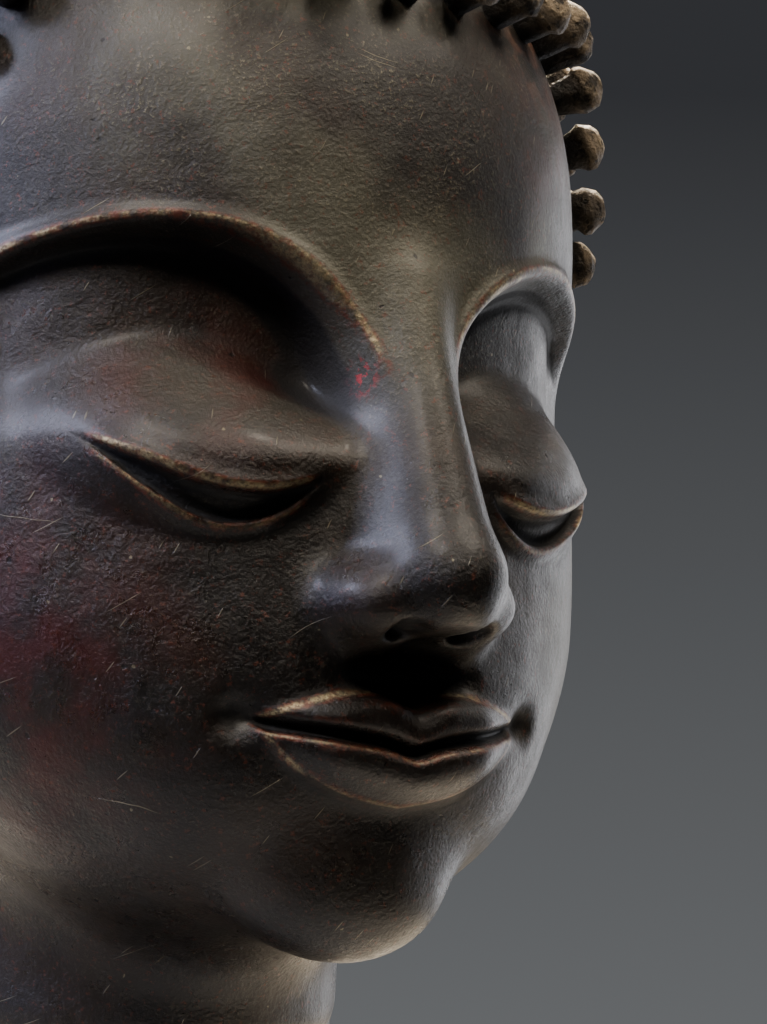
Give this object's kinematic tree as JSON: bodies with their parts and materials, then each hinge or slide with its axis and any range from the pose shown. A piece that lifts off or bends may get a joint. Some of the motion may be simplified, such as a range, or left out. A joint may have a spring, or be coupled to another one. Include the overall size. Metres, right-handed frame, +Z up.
{
  "type": "buddha head sculpture",
  "caption": "Large cast bronze head with downcast eyes, long ears, snail curls and a bump on the crown, standing on its flat cut neck.",
  "frame": {"origin": "middle of the flat cut under the neck", "axes": "+Z up through the crown, the face looks along -Y, the head's own left is +X"},
  "size_m": [0.3894, 0.4737, 0.7092],
  "materials": {
    "lacquered_bronze": "dark brown-black lacquer and patina on cast bronze, worn to pale metal on the ridges"
  },
  "bodies": {
    "root": {"buddha_head": "lacquered_bronze"}
  },
  "joints": []
}
